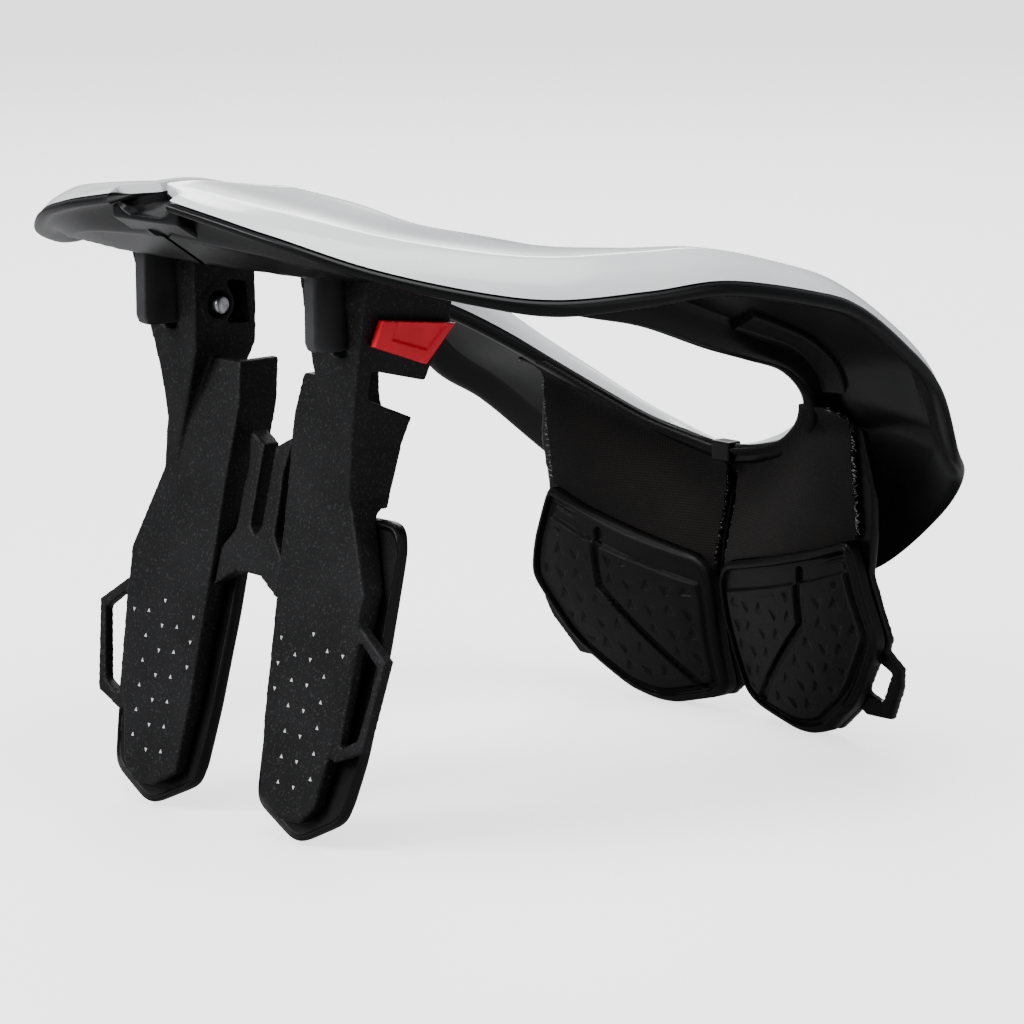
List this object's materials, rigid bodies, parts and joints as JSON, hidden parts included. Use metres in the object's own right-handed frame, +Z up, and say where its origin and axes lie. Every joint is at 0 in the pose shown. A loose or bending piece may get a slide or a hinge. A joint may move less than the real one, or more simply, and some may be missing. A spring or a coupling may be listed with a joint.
{
  "type": "motocross neck brace",
  "caption": "Rigid neck brace: a split white collar ring over a black chassis, with two long back wings, a slotted link, moulded chest pads and strap loops.",
  "frame": {"origin": "on the floor under the middle of the brace's outer box, as it stands on its wing tips and chest pads", "axes": "+Y is where the wearer faces, from the wings to the chest pads; +X is the wearer's right; +Z is up"},
  "size_m": [0.2646, 0.2568, 0.1932],
  "materials": {
    "shell": "gloss white, smooth",
    "chassis": "satin to gloss black, smooth",
    "grained": "fine grained black",
    "pad": "matt black, moulded",
    "woven": "coarse plain weave, frayed edges",
    "red": "satin red",
    "steel": "machined",
    "tongue": "satin dark grey"
  },
  "bodies": {
    "brace": {"shell_right": "shell", "chassis_right": "chassis", "wing_right": "grained", "wing_tongue_right": "tongue", "wing_pad_right": "pad", "chest_plate_right": "chassis", "chest_lining_right": "woven", "chest_pad_right": "pad", "shell_left": "shell", "chassis_left": "chassis", "wing_left": "grained", "wing_tongue_left": "tongue", "wing_pad_left": "pad", "chest_plate_left": "chassis", "chest_lining_left": "woven", "chest_pad_left": "pad", "wing_link": "grained", "rear_saddle": "chassis", "front_clasp": "chassis", "saddle_screw_1": "steel", "saddle_screw_2": "steel", "saddle_screw_3": "steel", "saddle_screw_4": "steel"},
    "release_right": {"release_tab_right": "red", "release_pin_right": "steel"},
    "release_left": {"release_tab_left": "red", "release_pin_left": "steel"}
  },
  "joints": [
    {"name": "pull_release_right", "type": "slide", "parent": "brace", "child": "release_right", "axis": [1, 0, 0], "range_m": [0, 0.02]},
    {"name": "pull_release_left", "type": "slide", "parent": "brace", "child": "release_left", "axis": [-1, 0, 0], "range_m": [0, 0.02]}
  ]
}
